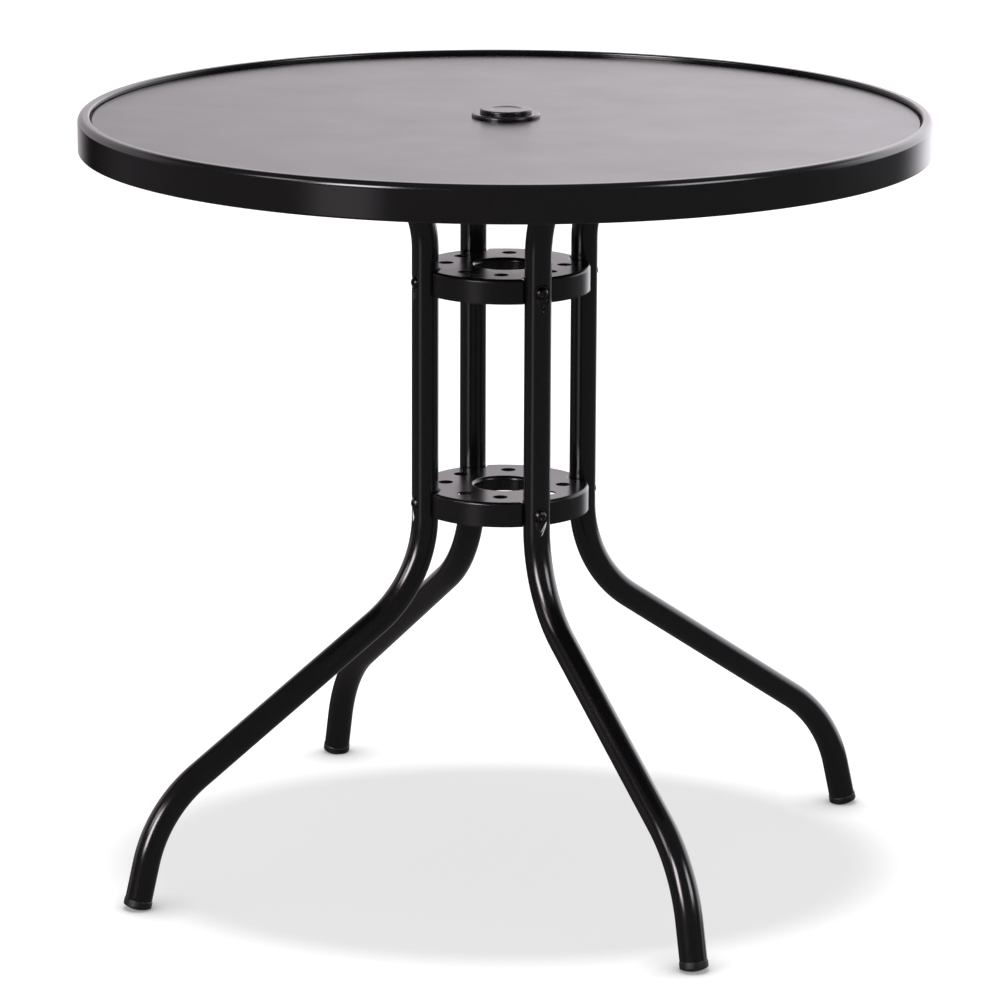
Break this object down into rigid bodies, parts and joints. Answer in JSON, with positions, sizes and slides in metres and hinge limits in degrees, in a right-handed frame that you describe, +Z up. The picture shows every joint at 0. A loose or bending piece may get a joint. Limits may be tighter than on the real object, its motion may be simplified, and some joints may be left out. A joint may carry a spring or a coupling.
{
  "type": "umbrella table",
  "caption": "Round patio table with a glass top in a rolled steel rim, a lift-out umbrella hole cap, and bent tube legs tied by pressed steel hubs round the pole.",
  "frame": {"origin": "on the floor, on the umbrella pole's axis", "axes": "+Z up along the pole's axis; -Y to the front, +X to the right; the legs stand at 45 degrees between X and Y"},
  "size_m": [0.8, 0.8, 0.7303],
  "materials": {
    "black_powder_coat": "gloss",
    "black_glass": "polished, painted black underneath",
    "gasket_vinyl": "satin",
    "black_plastic": "satin",
    "foot_plastic": "matt",
    "black_bolt": "satin",
    "zinc_plate": "satin"
  },
  "bodies": {
    "table": {"top_rim": "black_powder_coat", "glass_ledge": "black_powder_coat", "glass_top": "black_glass", "glass_gasket": "gasket_vinyl", "umbrella_grommet": "black_plastic", "grommet_lock_ring": "black_plastic", "leg_front_right": "black_powder_coat", "foot_cap_front_right": "foot_plastic", "rim_bracket_front_right": "black_powder_coat", "leg_back_right": "black_powder_coat", "foot_cap_back_right": "foot_plastic", "rim_bracket_back_right": "black_powder_coat", "leg_back_left": "black_powder_coat", "foot_cap_back_left": "foot_plastic", "rim_bracket_back_left": "black_powder_coat", "leg_front_left": "black_powder_coat", "foot_cap_front_left": "foot_plastic", "rim_bracket_front_left": "black_powder_coat", "upper_hub": "black_powder_coat", "upper_hub_bolts": "black_bolt", "upper_hub_washers": "zinc_plate", "upper_hub_nuts": "zinc_plate", "lower_hub": "black_powder_coat", "lower_hub_bolts": "black_bolt", "lower_hub_washers": "zinc_plate", "lower_hub_nuts": "zinc_plate", "arm_bolts": "black_bolt", "arm_washers": "zinc_plate", "arm_nuts": "zinc_plate"},
    "umbrella_cap": {"umbrella_cap": "black_plastic"}
  },
  "joints": [
    {"name": "cap_lift", "type": "slide", "parent": "table", "child": "umbrella_cap", "axis": [0, 0, 1], "range_m": [0, 0.08]}
  ]
}
